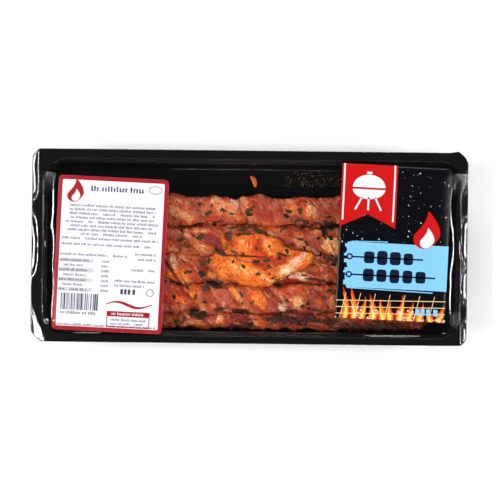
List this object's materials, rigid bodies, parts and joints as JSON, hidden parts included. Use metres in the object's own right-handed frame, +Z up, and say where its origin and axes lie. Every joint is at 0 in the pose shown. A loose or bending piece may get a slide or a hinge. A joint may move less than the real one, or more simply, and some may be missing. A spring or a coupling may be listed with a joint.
{
  "type": "sealed tray of marinated pork belly rolls",
  "caption": "Shallow black plastic tray sealed with clear film, holding wound marinated pork strips in a row, with a white data label and a dark front label.",
  "frame": {"origin": "under the middle of the tray, on the surface that it rests on", "axes": "+X along the tray, towards the end with the dark front label; +Y across the tray, towards its back edge; +Z up, through the film"},
  "size_m": [0.296, 0.132, 0.0311],
  "materials": {
    "tray_black": "smooth formed plastic, semi-gloss",
    "film_clear": "clear glossy film",
    "label_white": "coated paper, semi-gloss",
    "label_dark": "glossy printed paper",
    "pork": "wet marinated meat",
    "pork_fat": "wet marinated fat",
    "herb": "chopped green herb",
    "marinade": "thin wet marinade"
  },
  "bodies": {
    "root": {"tray": "tray_black", "film": "film_clear", "info_label": "label_white", "front_label": "label_dark", "pork_roll_1": "pork", "pork_roll_2": "pork", "pork_roll_3": "pork", "pork_roll_4": "pork", "pork_roll_5": "pork", "pork_flap": "pork_fat", "pork_scrap": "pork_fat"}
  },
  "joints": []
}
